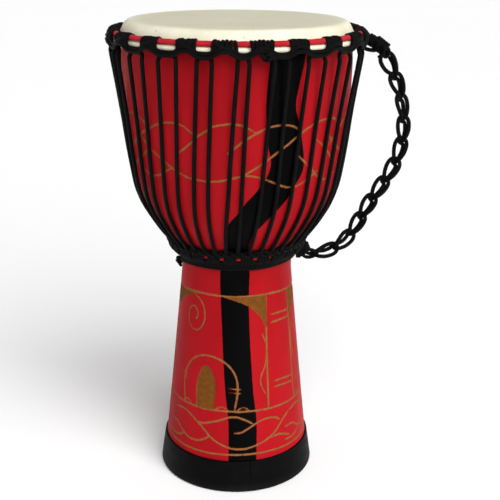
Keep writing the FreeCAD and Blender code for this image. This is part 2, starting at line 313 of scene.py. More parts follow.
def braid_height(f, strands, rise):
    """Diamond braid of two families of yarns crossing over and under, from a rope's UVs."""
    uv = f.add("ShaderNodeSeparateXYZ", f.add("ShaderNodeTexCoord").outputs["UV"])
    across = f.math("MULTIPLY", uv.outputs[0], float(strands))
    along = f.math("MULTIPLY", uv.outputs[1], rise)
    first = f.math("ADD", across, along)
    second = f.math("SUBTRACT", across, along)
    cell = f.math("ADD", f.math("FLOOR", first), f.math("FLOOR", second))
    odd = f.math("ABSOLUTE", f.math("MODULO", cell, 2.0))
    round_first = f.math("ABSOLUTE", f.math("SINE", f.math("MULTIPLY", first, math.pi)))
    round_second = f.math("ABSOLUTE", f.math("SINE", f.math("MULTIPLY", second, math.pi)))
    over = f.math("MULTIPLY", round_first, f.math("ADD", 0.45, f.math("MULTIPLY", round_second, 0.55)))
    under = f.math("MULTIPLY", round_second, f.math("ADD", 0.45, f.math("MULTIPLY", round_first, 0.55)))
    keep = f.math("MULTIPLY", over, odd)
    rest = f.math("MULTIPLY", under, f.math("SUBTRACT", 1.0, odd))
    return f.math("ADD", keep, rest)


def rope_finish():
    f = Finish("black_rope", Specular_IOR_Level=0.06, Sheen_Weight=0.01, Sheen_Roughness=0.4,
               Sheen_Tint=linear(110, 112, 112))
    height = braid_height(f, 8, 1.8)
    fuzz = f.noise(f.place(), 2600.0, 2.0)
    worn = f.noise(f.place(), 60.0, 3.0)
    # The yarns are painted darker where the braid is low, as painted shade in its grooves.
    yarn_groove_shade = f.mix(height, linear(1, 1, 1), linear(9, 9, 9))
    colour = f.mix(f.spread(worn, 0.42, 0.75, 0.0, 0.55), yarn_groove_shade, linear(19, 19, 18))
    normal = f.bump(fuzz, 0.00012, 0.5, f.bump(height, 0.00045, 0.9))
    return f.set(Base_Color=colour, Roughness=f.spread(worn, 0.3, 0.7, 0.5, 0.68), Normal=normal)


def paint_finish():
    """Lacquer over wood: red with a black stripe, cut through by carving. The shell's attributes
    give the signed distances, in millimetres, to the carving's and the stripe's edges."""
    f = Finish("lacquered_wood", Specular_IOR_Level=0.03)
    place = f.place()
    wander = f.math("MULTIPLY", f.math("SUBTRACT", f.noise(place, 160.0, 2.0), 0.5), 1.3)
    cut = f.math("ADD", f.attribute("cut"), wander)
    carved = f.spread(cut, 0.12, -0.22)
    rim = f.spread(f.math("ABSOLUTE", f.math("SUBTRACT", cut, 0.25)), 0.0, 0.55, 1.0, 0.0)
    striped = f.spread(f.math("ADD", f.attribute("stripe"), f.math("MULTIPLY", wander, 0.8)), 0.3, -0.3)
    cloud = f.noise(f.place((1, 1, 0.35)), 14.0, 3.0)
    red = f.tint(cloud, 0.32, 0.7, (143, 14, 21), (163, 20, 27))
    streak = f.noise(f.place((90, 90, 5)), 1.0, 4.0, 0.6)
    black = f.tint(cloud, 0.3, 0.7, (1, 1, 1), (5, 5, 5))
    paint = f.mix(striped, red, black)
    paint = f.mix(f.math("MULTIPLY", rim, 0.25), paint, linear(110, 36, 20))
    grain = f.noise(f.place((260, 260, 30)), 1.0, 4.0, 0.65)
    wood = f.tint(grain, 0.3, 0.72, (118, 74, 40), (144, 92, 52))
    gouge = f.noise(place, 190.0, 3.0, 0.6)
    dark_wood = f.tint(gouge, 0.35, 0.68, (98, 58, 18), (112, 67, 24))
    wood = f.mix(f.spread(f.attribute("fill"), 0.3, 0.9), wood, dark_wood)
    colour = f.mix(carved, paint, wood)
    gloss = f.spread(f.noise(place, 45.0, 4.0, 0.6), 0.3, 0.75, 0.38, 0.5)
    roughness = f.math("ADD", gloss, f.math("MULTIPLY", carved, 0.3))
    groove = f.spread(cut, 0.5, -1.3, 1.0, 0.0)
    normal = f.bump(groove, 0.0009, 0.8)
    normal = f.bump(streak, 0.00025, 0.5, normal)
    normal = f.bump(f.noise(place, 700.0, 2.0), 0.00004, 0.6, normal)
    chatter = f.math("MULTIPLY", f.math("ADD", grain, gouge), carved)
    normal = f.bump(chatter, 0.0004, 0.7, normal)
    return f.set(Base_Color=colour, Roughness=roughness, Normal=normal)


def bare_wood_finish():
    f = Finish("bare_wood", Specular_IOR_Level=0.25)
    grain = f.noise(f.place((120, 120, 9)), 1.0, 5.0, 0.62)
    blotch = f.noise(f.place((1, 1, 0.5)), 22.0, 3.0)
    light = f.tint(grain, 0.3, 0.72, (112, 74, 44), (176, 128, 82))
    colour = f.mix(f.spread(blotch, 0.35, 0.75, 0.0, 0.6), light, linear(104, 66, 38))
    adze = f.cells(f.place((1, 1, 0.4)), 75.0)
    normal = f.bump(grain, 0.0003, 0.7, f.bump(adze, 0.0012, 0.6))
    return f.set(Base_Color=colour, Roughness=f.spread(grain, 0.2, 0.8, 0.62, 0.85), Normal=normal)


def skin_finish():
    f = Finish("goat_skin", Specular_IOR_Level=0.3, Subsurface_Weight=0.08, Subsurface_Scale=0.004)
    place = f.place()
    radius = f.add("ShaderNodeVectorMath", f.place((1, 1, 0)), operation="LENGTH").outputs["Value"]
    spine = f.noise(f.place((7, 30, 7)), 1.0, 4.0, 0.6)
    cloud = f.noise(place, 26.0, 4.0, 0.6)
    # The flat top's grey is partly the scraped skin's own tone and partly painted shade on the up-facing
    # head. The side's cream is the skin's own paler tone, made paler still by painted light where it faces
    # the front.
    grey_top_and_shade = f.tint(cloud, 0.3, 0.72, (196, 192, 168), (208, 204, 180))
    grey_top_and_shade = f.mix(f.spread(spine, 0.52, 0.8, 0.0, 0.4), grey_top_and_shade, linear(186, 178, 152))
    cream_skirt_and_light = f.tint(cloud, 0.35, 0.7, (214, 208, 184), (228, 223, 203))
    colour = f.mix(f.spread(radius, 0.118, 0.138), grey_top_and_shade, cream_skirt_and_light)
    spots = f.cells(place, 60.0)
    freckle = f.math("MULTIPLY", f.spread(spots, 0.05, 0.16, 1.0, 0.0),
                     f.spread(f.noise(place, 18.0, 1.0), 0.5, 0.62))
    colour = f.mix(f.math("MULTIPLY", freckle, 0.4), colour, linear(146, 118, 78))
    pores = f.cells(place, 900.0)
    fibre = f.noise(f.place((300, 900, 300)), 1.0, 3.0)
    normal = f.bump(pores, 0.00008, 0.6, f.bump(fibre, 0.0001, 0.5))
    normal = f.bump(f.noise(place, 70.0, 3.0), 0.0005, 0.5, normal)
    return f.set(Base_Color=colour, Roughness=f.spread(cloud, 0.3, 0.7, 0.46, 0.62), Normal=normal)


def cloth_finish():
    """Strips of cotton wound round a ring: a plain weave from the UVs, whose v is in metres."""
    f = Finish("red_cloth", Specular_IOR_Level=0.2, Sheen_Weight=0.25, Sheen_Roughness=0.5,
               Sheen_Tint=linear(255, 120, 120))
    uv = f.add("ShaderNodeSeparateXYZ", f.add("ShaderNodeTexCoord").outputs["UV"])
    warp = f.math("SINE", f.math("MULTIPLY", uv.outputs[0], 2 * math.pi * 24))
    weft = f.math("SINE", f.math("MULTIPLY", uv.outputs[1], 2 * math.pi * 1100))
    weave = f.math("MULTIPLY", warp, weft)
    fade = f.noise(f.place(), 90.0, 3.0)
    colour = f.tint(fade, 0.3, 0.7, (158, 15, 26), (186, 24, 36))
    # The weave's low places are mixed towards a darker red, as painted shade in its hollows.
    colour = f.mix(f.spread(weave, 0.2, -1.0, 0.0, 0.35), colour, linear(120, 8, 20))
    normal = f.bump(weave, 0.00012, 0.6, f.bump(fade, 0.0004, 0.6))
    return f.set(Base_Color=colour, Roughness=f.spread(fade, 0.3, 0.7, 0.7, 0.88), Normal=normal)


def rubber_finish():
    f = Finish("moulded_rubber", Specular_IOR_Level=0.06)
    place = f.place()
    scuff = f.noise(f.place((1, 1, 3)), 34.0, 5.0, 0.65)
    axes = f.add("ShaderNodeSeparateXYZ", place).outputs
    dust = f.spread(axes[2], 0.0, 0.012, 0.3, 0.0)
    around = f.math("ARCTAN2", axes[0], f.math("MULTIPLY", axes[1], -1.0))
    join = f.math("ABSOLUTE", f.math("SUBTRACT", around, math.radians(11.5)))
    seam = f.math("MULTIPLY", f.spread(join, 0.005, 0.012, 1.0, 0.0), f.spread(axes[2], 0.008, 0.02))
    colour = f.tint(scuff, 0.45, 0.8, (1, 1, 1), (7, 7, 7))
    colour = f.mix(seam, colour, linear(0, 0, 0))
    colour = f.mix(f.math("MULTIPLY", dust, scuff), colour, linear(52, 50, 48))
    normal = f.bump(f.noise(place, 1500.0, 2.0), 0.00006, 0.6, f.bump(scuff, 0.0003, 0.4))
    normal = f.bump(f.math("SUBTRACT", 1.0, seam), 0.0016, 1.0, normal)
    return f.set(Base_Color=colour, Roughness=f.spread(scuff, 0.3, 0.7, 0.48, 0.66), Normal=normal)


def steel_finish():
    f = Finish("ring_steel", Metallic=1.0)
    brushed = f.noise(f.place((40, 40, 1400)), 1.0, 3.0)
    colour = f.tint(brushed, 0.3, 0.7, (120, 118, 115), (176, 174, 170))
    return f.set(Base_Color=colour, Roughness=f.spread(brushed, 0.3, 0.7, 0.28, 0.45),
                 Normal=f.bump(brushed, 0.00005, 0.5))


rope_black = rope_finish()
lacquer = paint_finish()
bare_wood = bare_wood_finish()
skin_cream = skin_finish()
cloth_red = cloth_finish()
rubber_black = rubber_finish()
steel = steel_finish()


# ---- shell ----
def read_side(node, facing):
    """Heights and radii of a turned CAD part's outer (+1) or inner (-1) side, from its mesh."""
    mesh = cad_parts[node].data
    places = np.array([vertex.co for vertex in mesh.vertices], float) / MM
    corners = np.array([face.vertices for face in mesh.polygons])
    normals = np.array([face.normal for face in mesh.polygons], float)
    outward = unit(places[corners].mean(1)[:, :2])
    chosen = (normals[:, :2] * outward).sum(1) * facing > 0.1
    side = places[np.unique(corners[chosen])]
    heights = np.round(side[:, 2], 2)
    radii = np.hypot(side[:, 0], side[:, 1])
    levels = np.unique(heights)
    return levels, np.array([radii[heights == level].mean() for level in levels])


def smooth_radius(z, levels, radii):
    """A cubic through the side's points, so its curve has no facets."""
    slope = np.gradient(radii, levels)
    k = np.clip(np.searchsorted(levels, z) - 1, 0, len(levels) - 2)
    gap = levels[k + 1] - levels[k]
    t = (z - levels[k]) / gap
    rise, fall = t * t * (3 - 2 * t), t * (1 - t) * (1 - t)
    back = -t * t * (1 - t)
    return radii[k] * (1 - rise) + radii[k + 1] * rise + gap * (slope[k] * fall + slope[k + 1] * back)


OUTER_SIDE = read_side("shell", 1)
INNER_SIDE = read_side("shell", -1)


def shell_radius(z):
    return smooth_radius(np.asarray(z, float), *OUTER_SIDE)


# Carving, as (azimuth, height) strokes laid on the shell, each with one of three half widths.
RIB = 1.35
RING_LINE = 1.3
FINE = 1.0
CARVED_HEIGHTS = ((44, 276), (408, 506))
FAR = 9.0                   # stands for the distance to the carving where there is none
MM_PER_DEGREE = 1.6         # round the shell, roughly
STROKE_END = 0.55           # a stroke's width at its ends, as a share of the full width
STROKE_TAPER = 8            # points over which it gets there
CUT_DEPTH = 0.75
CUT_SLOPE = 0.8

# Bowl: rising arcs that overlap like scales, above long hanging arcs.
UPPER_ARCS = [
    [(-68, 452), (-55, 472.5), (-45.5, 484), (-38.5, 491.5), (-31, 494.5), (-25, 492), (-19, 481)],
    [(-28, 460), (-21.2, 473.5), (-18.8, 480), (-12.8, 489.5), (-10.5, 493.5), (-3.8, 497), (0, 497),
     (4.2, 494.5), (10.0, 486.5)],
    [(-4, 462), (1.5, 472.5), (4, 477.5), (9.5, 485.5), (15, 492), (22, 494.5), (28.5, 491.5),
     (33.2, 484)],
    [(3.8, 436), (10.8, 446), (18.5, 459), (24, 468), (31, 480), (37.2, 488.5), (44, 494), (50.5, 494.5),
     (57, 492), (64.2, 481.5)]]
LOWER_ARCS = [
    [(-57, 474), (-50, 463), (-46, 457), (-39.8, 448.5), (-33.2, 439.5), (-26.2, 432), (-20, 429),
     (-13, 428), (-5.8, 430), (3.8, 436)],
    [(-64, 434), (-56, 428), (-51, 424), (-46.2, 425.5), (-40.8, 429), (-37.5, 434.5), (-33.8, 438.5)],
    [(3.8, 436), (10.2, 434.5), (18, 427.5), (25.8, 419.5), (30, 418), (34, 418.5), (41.8, 426.5),
     (47, 434)],
    [(30, 459), (34, 452.5), (39, 442.5), (42.5, 435.5), (47, 426), (51.8, 420), (58, 418), (66, 423)],
    [(42, 474), (47.2, 465), (53.2, 454), (58.5, 443), (64, 432)]]
BACK_RISING = [(-27, 462), (-20, 474), (-11, 489), (-4, 494.5), (3, 495.5), (10, 490), (15, 482)]
BACK_HANGING = [(-42, 474), (-34, 461), (-24, 446), (-12, 433), (0, 427), (12, 431), (24, 444), (33, 459)]
BACK_ARCS = 6
BACK_FIRST, BACK_LAST = 80.0, 299.0

# Foot band: one long wave with shorter arcs woven through it.
FOOT_WAVES = [
    [(-62, 96), (-51, 99.5), (-41, 96), (-32.2, 88), (-24.8, 79), (-18.8, 70.5), (-12, 64.5),
     (-4, 59.8), (3.8, 58.5), (10.8, 59.5), (19.8, 63.5), (27.5, 68.5), (35, 76), (42.5, 87.5), (51, 96.5)],
    [(-33.5, 90.5), (-28, 89.5), (-19.2, 94), (-12.8, 97.5), (-6, 102), (0.8, 103), (7.2, 99.5),
     (11.8, 95.5), (15.8, 91)],
    [(-0.8, 81), (4.5, 81.5), (9, 85), (15.8, 91), (21, 95), (28, 97), (35.5, 95), (41, 88.5)],
    [(-67, 76), (-57.8, 76), (-52, 70.5), (-45.5, 65.5), (-39, 62.5), (-31.2, 64), (-25.2, 69),
     (-21, 73.5)],
    [(-69.8, 58.5), (-59.5, 58), (-51.2, 61.5), (-47.2, 68)],
    [(30.5, 69), (38, 70), (44, 67), (50.5, 62.5)]]
FOOT_REPEATS = (0.0, 113.0, 236.5)

# Stem panels: a filled dome under a plain arch, with a spiral hanging from the ring above. Two
# ladders, of two posts and four rungs each, stand between panels, with a filled corner and a wavy
# line beside each post. Azimuths are from a panel's middle, PANEL_HALF from the post beside it.
PANELS = (-27.0, 121.0, 185.0)
PANEL_HALF = 58.0
DOME = [(-2.5, 168.8), (2.5, 168.8), (6.5, 161.5), (9.2, 150), (9.8, 138), (9.2, 126), (8.0, 110),
        (-8.4, 110), (-9.4, 126), (-9.6, 138), (-8.6, 150), (-6, 161)]
SPIRAL_CENTRE = (-17.0, 232.0)
SPIRAL_REACH = (15.0, 27.0)
ARCH = [(-22, 111.5), (-24.0, 127), (-24.5, 141), (-22.5, 156), (-17.0, 170), (-8.5, 179.5), (1.5, 183),
        (11.5, 180.5), (20.5, 173), (26.5, 161), (29, 146), (28.5, 130), (26.5, 112)]
TICKS = [[(21.0, 142.0), (32.0, 140.6)], [(21.6, 136.6), (31.6, 135.2)],
         [(-28.2, 152.0), (-20.4, 147.6)], [(-27.8, 146.4), (-19.8, 142.0)]]
SPANDREL = [(12.8, 263.5), (22, 260.5), (33, 256), (40, 251), (47, 243), (52.2, 235.5), (55.2, 226.5),
            (56.8, 219.5), (58.6, 219), (59, 264)]
BESIDE_POST = [(52.8, 213), (55.2, 203.5), (57.2, 196), (55.8, 177), (53.8, 166.5), (50.5, 156.5),
               (50.2, 144), (55, 128.5)]
RUNGS = [(235.5, 234), (225, 224.5), (145.5, 142.5), (137.5, 134)]
LADDERS = ((31.0, 63.0), (243.0, 275.0))
POST_TOP, POST_MIDDLE, POST_FOOT = 263.0, 220.0, 112.0
POST_LEAN = 0.8             # degrees from its top to its middle, and again to its foot
TOP_RING, FOOT_RING, LOW_RING = 264.5, 110.0, 50.3
SCALLOPS = [(-52.2, -40.5), (-17.8, -5.0), (1.0, 12.0)]     # low arches on the foot ring
SAG_ABOVE = 240             # a filled corner dips with the ring over it from here up

# The black stripe's edges, as (height, azimuth).
STRIPE_LEFT = [(598, 16.5), (575, 16), (540, 14.6), (509, 14.2), (490, 15), (469, 15.8), (448, 17.5),
               (434, 16), (420.5, 12.5), (410, 8.8), (400.5, 5.2), (388, 1.8), (377.5, -2.5), (365.5, -5.5),
               (346, -7.2), (331, -9.5), (296, -15.5), (258, -14.8), (223.5, -13), (183, -11.2),
               (126.5, -8), (109, -6.5), (41.5, -5.2), (5, -5)]
STRIPE_RIGHT = [(598, 35), (575, 34), (540, 30.5), (511.5, 29.0), (497.5, 30.8), (471.5, 33.8), (455, 35.5),
                (434.5, 35.8), (416.5, 31.5), (402, 28.2), (394, 25.2), (381, 20.0), (368.5, 15.5),
                (359.5, 11.8), (347.5, 10.2), (331, 10), (297, 13.8), (259, 13), (224, 13.2),
                (183, 14.2), (126, 16.2), (107.5, 17.5), (40, 17), (5, 17)]


def shifted(points, shift, mirror=False):
    """Strokes or outlines moved round the drum, turned left to right first if mirrored."""
    sign = -1 if mirror else 1
    return [(sign * azimuth + shift, z) for azimuth, z in points]


def sag(azimuth):
    """How far the ring over the panels dips at the drum's sides."""
    return 6.0 * math.sin(math.radians(azimuth)) ** 4


def ring_line(z, swing, dip=0.0):
    """A ring all the way round, which swings a little up and down three times."""
    azimuths = np.arange(0, 361, 6)
    return [(a, z + swing * math.sin(math.radians(3 * a + z)) - dip * sag(a)) for a in azimuths]


def spiral():
    """One and a half turns in from the ring, shrinking evenly."""
    turn = np.radians(np.linspace(90, -450, 19))
    size = np.linspace(1.0, 0.15, 19)
    return list(zip(SPIRAL_CENTRE[0] + SPIRAL_REACH[0] * size * np.cos(turn),
                    SPIRAL_CENTRE[1] + SPIRAL_REACH[1] * size * np.sin(turn)))


def stem_strokes():
    strokes = [(RIB, ring_line(TOP_RING, 0.6, dip=1.0)), (RIB, ring_line(FOOT_RING, 0.5)),
               (RING_LINE, ring_line(LOW_RING, 0.6))]
    for centre in PANELS:
        strokes.append((FINE, shifted(spiral(), centre)))
        strokes.append((RIB, shifted(ARCH, centre)))
        for tick in TICKS:
            strokes.append((FINE, shifted(tick, centre)))
    for left, right in LADDERS:
        for azimuth in (left, right):
            strokes.append((RIB, [(azimuth, POST_TOP), (azimuth - POST_LEAN, POST_MIDDLE),
                                  (azimuth - 2 * POST_LEAN, POST_FOOT)]))
        for start, end in RUNGS:
            strokes.append((RIB, [(left + 4.5, start), (0.5 * (left + right), 0.5 * (start + end) + 0.6),
                                  (right - 2, end)]))
        strokes.append((FINE, shifted(BESIDE_POST, left - PANEL_HALF)))
        strokes.append((FINE, shifted(BESIDE_POST, right + PANEL_HALF, mirror=True)))
    for repeat in FOOT_REPEATS:
        for wave in FOOT_WAVES:
            strokes.append((RIB, shifted(wave, repeat)))
        for start, end in SCALLOPS:
            middle = 0.5 * (start + end)
            arch = [(start, FOOT_RING + 1), (middle - 2, FOOT_RING + 5), (middle + 2, FOOT_RING + 5.4),
                    (end, FOOT_RING + 1)]
            strokes.append((FINE, shifted(arch, repeat)))
    return strokes


def bowl_strokes():
    strokes = [(RIB, arc) for arc in UPPER_ARCS + LOWER_ARCS]
    for azimuth in np.linspace(BACK_FIRST, BACK_LAST, BACK_ARCS + 2):
        strokes.append((RIB, shifted(BACK_RISING, azimuth)))
    for azimuth in np.linspace(BACK_FIRST + 14, BACK_LAST - 20, BACK_ARCS - 1):
        strokes.append((RIB, shifted(BACK_HANGING, azimuth)))
    return strokes


def filled_areas():
    areas = [shifted(DOME, centre) for centre in PANELS]
    for left, right in LADDERS:
        for spandrel in (shifted(SPANDREL, left - PANEL_HALF - 0.5),
                         shifted(SPANDREL, right + PANEL_HALF + 0.5, mirror=True)):
            areas.append([(azimuth, z - sag(azimuth) * (z > SAG_ABOVE)) for azimuth, z in spandrel])
    return areas


def nearest(points, samples):
    """For each point the index of the nearest sample, and how far away it is."""
    tree = KDTree(len(samples))
    for index, sample in enumerate(samples):
        tree.insert(sample, index)
    tree.balance()
    found = [tree.find(point)[1:] for point in points]
    return np.array([f[0] for f in found]), np.array([f[1] for f in found])


def inside(area, azimuth, z):
    """Whether each place is inside the closed area, going round either way past the back."""
    odd = np.zeros(azimuth.shape, bool)
    middle = np.mean([corner[0] for corner in area])
    azimuth = (azimuth - middle + 180) % 360 - 180 + middle
    for (a0, z0), (a1, z1) in zip(area, area[1:] + area[:1]):
        crosses = (z0 > z) != (z1 > z)
        reach = a0 + (z - z0) * (a1 - a0) / ((z1 - z0) or 1e-9)
        odd ^= crosses & (azimuth < reach)
    return odd


def carving(azimuth, z):
    """Signed distance to the carving's edge, negative inside, and how far it is a filled area."""
    cut = np.full(azimuth.shape, FAR)
    zone = np.zeros(azimuth.shape, bool)
    for low, high in CARVED_HEIGHTS:
        zone |= (z > low) & (z < high)
    places = polar(azimuth[zone], shell_radius(z[zone]), z[zone])
    samples, widths = [], []
    for half, stroke in stem_strokes() + bowl_strokes():
        scaled = np.asarray(stroke, float) * (MM_PER_DEGREE, 1.0)
        line = through(scaled, 0.7) / (MM_PER_DEGREE, 1.0)
        samples.append(polar(line[:, 0], shell_radius(line[:, 1]), line[:, 1]))
        ends = np.minimum(np.arange(len(line)), np.arange(len(line))[::-1])
        all_round = abs(stroke[-1][0] - stroke[0][0]) >= 360
        share = np.clip(ends / STROKE_TAPER + all_round, 0, 1)
        widths.append(half * (STROKE_END + (1 - STROKE_END) * share))
    widths = np.concatenate(widths)
    index, distance = nearest(places, np.vstack(samples))
    signed = distance - widths[index]
    filled = np.zeros(len(places))
    for area in filled_areas():
        corners = np.asarray(area + area[:1], float)
        edge = respace(corners, 0.5)
        edge = polar(edge[:, 0], shell_radius(edge[:, 1]), edge[:, 1])
        within = inside(area, azimuth[zone], z[zone])
        near = within | (np.linalg.norm(places - edge.mean(0), axis=1) < 60)
        gap = nearest(places[near], edge)[1]
        area_signed = np.where(within[near], -gap, gap)
        signed[near] = np.minimum(signed[near], area_signed)
        filled[near] = np.maximum(filled[near], np.clip(0.5 - area_signed, 0, 1))
    cut[zone] = signed
    fill = np.zeros(azimuth.shape)
    fill[zone] = filled
    return cut, fill


def stripe_distance(azimuth, z):
    """Signed distance to the black stripe's edge, negative inside."""
    around = (azimuth + 180) % 360 - 180
    left = np.array(STRIPE_LEFT)[::-1]
    right = np.array(STRIPE_RIGHT)[::-1]
    low = smooth_radius(z, left[:, 0], left[:, 1])
    high = smooth_radius(z, right[:, 0], right[:, 1])
    return np.maximum(low - around, around - high) * np.radians(shell_radius(z))


def make_shell():
    """The turned shell, outside and in, with its rows closest together where it is carved."""
    columns = 384
    bottom, top = OUTER_SIDE[0][0], OUTER_SIDE[0][-1]
    heights = np.concatenate([
        np.linspace(bottom, 44, 7), np.arange(46, 276, 1.9), np.linspace(277, 404, 26),
        np.arange(406, 502, 2.0), np.linspace(504, 588, 14), np.linspace(590, top - 0.3, 6), [top]])
    outer = np.stack([shell_radius(heights), heights], -1)
    descent = np.concatenate([
        np.linspace(top, 560, 6), np.linspace(545, 290, 20), np.linspace(270, bottom, 9)])
    inner = np.stack([smooth_radius(descent, *INNER_SIDE), descent], -1)
    profile = np.vstack([outer, inner])
    azimuths, rows = lathe(profile, columns)
    azimuth = np.broadcast_to(azimuths, rows.shape[:2])
    z = rows[..., 2]
    on_outside = (np.arange(len(profile)) < len(outer))[:, None] & np.ones(columns, bool)
    cut = np.full(z.shape, FAR)
    fill = np.zeros(z.shape)
    cut[on_outside], fill[on_outside] = carving(azimuth[on_outside], z[on_outside])
    stripe = stripe_distance(azimuth, np.clip(z, 5, 598))
    depth = CUT_DEPTH * (1 - np.exp(-np.clip(-cut, 0, None) / CUT_SLOPE)) * on_outside
    uneven = ripple(azimuth, z, 9, 22, 9, 0.3) * (on_outside & (z > 45) & (z < 585))
    chisel = ripple(azimuth, z, 8, 60, 40, 0.9) * (~on_outside)
    level = np.linalg.norm(rows[..., :2], axis=-1, keepdims=True)
    rows[..., :2] *= (level + (uneven - depth + chisel)[..., None]) / level
    grids = Grids()
    grids.rings(rows, np.linspace(0, 1, len(rows)), closed=True)
    shell = grids.make("shell_wood", lacquer, "drum")
    shell.data.materials.append(bare_wood)
    row_of_face = np.arange(len(shell.data.polygons)) // columns
    shell.data.polygons.foreach_set("material_index", (row_of_face >= len(outer)).astype(np.int32))
    for name, values in (("cut", cut), ("fill", fill), ("stripe", stripe)):
        layer = shell.data.attributes.new(name, "FLOAT", "POINT")
        layer.data.foreach_set("value", values.astype(np.float32).ravel())
    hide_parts("shell")


make_shell()


# ---- skin and rings ----
def make_skin():
    """One hide: flat head, turn over the bearing edge, side, and tuck round the flesh ring."""
    columns = 360
    top, underside = 600.0, 598.8
    flat_radius = 129.5
    outer_roll = 3.7
    head = [(r, top) for r in np.linspace(1.0, flat_radius, 46)]
    turn = [(131.5, 599.95), (133.6, 599.2), (135.6, 597.9), (137.4, 596.1), (138.9, 593.9), (140.1, 591.5),
            (141.3, 589.0), (142.5, 586.6), (143.9, 584.6), (145.4, 583.1)]
    roll = arc_points(FLESH_RING, outer_roll, 122, -160, 22)
    inside_up = [(144.4, 580.6), (142.6, 583.4), (141.0, 586.4), (139.6, 589.2), (138.4, 592.6),
                 (136.9, 595.1), (134.6, 597.5), (131.5, underside)]
    under = [(r, underside) for r in np.linspace(flat_radius, 1.0, 16)]
    profile = np.vstack([under[::-1], inside_up[::-1], roll[::-1], turn[::-1], head[::-1]])
    azimuths, rows = lathe(profile, columns)
    azimuth = np.broadcast_to(azimuths, rows.shape[:2])
    z = rows[..., 2]
    level = np.linalg.norm(rows[..., :2], axis=-1)
    outside = (np.arange(len(profile)) >= len(under) + len(inside_up))[:, None]
    slack = np.clip((594 - z) / 10, 0, 1) * outside
    pucker = ripple(azimuth, z, 10, 90, 8, 0.75) * slack
    roll_fold = ripple(azimuth, z, 8, 140, 30, 0.55) * slack * (z < 584.5)
    rows[..., :2] *= ((level + pucker + roll_fold) / level)[..., None]
    face = outside & (z > 599.5)
    rows[..., 2] += ripple(azimuth, level * 2, 7, 5, 12, 0.16) * face
    grids = Grids()
    grids.rings(rows, np.linspace(0, 1, len(rows)))
    skin = grids.make("goat_skin_head", skin_cream)
    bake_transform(skin)
    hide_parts("drum_head", "head_skirt")


def make_cloth_ring(name, centre, columns, turns, body, node):
    """Strips wound round a ring, each turn lapping the last by a low step."""
    sides = 18
    lap_height = 0.34
    grids = Grids()
    around = np.linspace(0, 360, columns, endpoint=False)[:, None]
    section = np.linspace(0, 2 * np.pi, sides, endpoint=False)[None, :]
    lap = (around / 360 * turns + section / (2 * np.pi)) % 1.0
    step = lap_height * (lap ** 1.4) * np.clip((1 - lap) / 0.12, 0, 1)
    crease = ripple(around, section * 300, 6, 120, 6, 0.12)
    girth = RING_GRIP - 0.12 + step + crease
    rows = polar(around, centre[0] + girth * np.cos(section), centre[1] - girth * np.sin(section))
    length = 2 * np.pi * centre[0] * MM
    grids.rings(rows, np.linspace(0, length, columns, endpoint=False), closed=True)
    cloth = grids.make(name, cloth_red, body)
    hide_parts(node)


make_skin()
make_cloth_ring("crown_cloth_wrap", CROWN_RING, 1080, 88, "crown", "crown_ring_cloth")
make_cloth_ring("waist_cloth_wrap", BOTTOM_RING, 720, 52, "drum", "bottom_ring_cloth")


# ---- rope round the crown ring ----
# Gaps between the hitches, in degrees: how far they stray from even spacing, and how half their
# width varies.
GAP_STRAY = 3.4
GAP_HALF = 3.5
GAP_HALF_CHANGE = 1.1


def gap_centre(index):
    stray = GAP_STRAY * math.sin(math.radians(2 * LOOP_PITCH * index))
    return FIRST_GAP + LOOP_PITCH * index - stray


def gap_half_width(index):
    return GAP_HALF - GAP_HALF_CHANGE * math.cos(math.radians(4 * LOOP_PITCH * index))


def hitch_span(index):
    start = gap_centre(index) + gap_half_width(index)
    end = gap_centre(index + 1) - gap_half_width(index + 1)
    return start, end


# One turn of a hitch, from inside the ring over its top to the outside, as (radius, height).
TURN_SECTION = [(146.1, 584.7), (146.0, 587.0), (147.6, 588.6), (150.7, 589.0), (153.9, 588.2),
                (155.9, 585.6), (156.3, 582.0), (155.4, 578.6)]
TURN_SPACING = 4.4
# The turn that slants across them, as (share of its reach, radius, height).
SLANT_REACH = 0.42          # of the hitch's span, to each side
SLANT = [(-1.0, 154.0, 577.5), (-0.8, 157.0, 580.2), (0.0, 158.4, 583.2), (0.8, 156.8, 586.6),
         (1.0, 153.4, 588.6)]
# Each rope of the cradle, as (radius, height) in a gap and over a hitch.
CRADLE_ROPES = [((155.7, 575.9), (158.7, 583.0)), ((157.2, 572.3), (159.2, 578.8))]
# Along a hitch: share of its span, and share of the lift from the gap's place to the hitch's.
CRADLE_LIFT = [(0.06, 0.3), (0.3, 0.9), (0.5, 1.0), (0.7, 0.9), (0.94, 0.3)]


def make_hitch(index):
    """Turns of rope side by side over the crown ring, with one turn slanting across them."""
    grids = Grids()
    start, end = hitch_span(index)
    degrees = np.degrees(1 / CROWN_RING[0])
    turns = int(round((end - start) / (TURN_SPACING * degrees)))
    half = ROPE_RADIUS * degrees
    for azimuth in np.linspace(start + half, end - half, turns):
        lean = rng.uniform(-1.6, 1.6) * degrees
        swell = rng.uniform(-0.5, 0.7)
        lift = rng.uniform(-0.6, 0.5)
        points = []
        for k, (radius, z) in enumerate(TURN_SECTION):
            share = k / (len(TURN_SECTION) - 1)
            points.append(polar(azimuth + lean * (2 * share - 1), radius + swell * (share > 0.4),
                                z + lift * (0.2 < share < 0.7)))
        grids.rope_through(points, ROPE_RADIUS - 0.15)
    side = rng.choice([-1, 1])
    middle = 0.5 * (start + end)
    reach = side * (SLANT_REACH * (end - start))
    slant = [polar(middle + reach * share, radius, z) for share, radius, z in SLANT]
    grids.rope_through(slant, ROPE_RADIUS - 0.2)
    hitch = grids.make("hitch_%02d" % (index + 1), rope_black, "crown")
    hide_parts("crown_loop_%02d" % (index + 1))


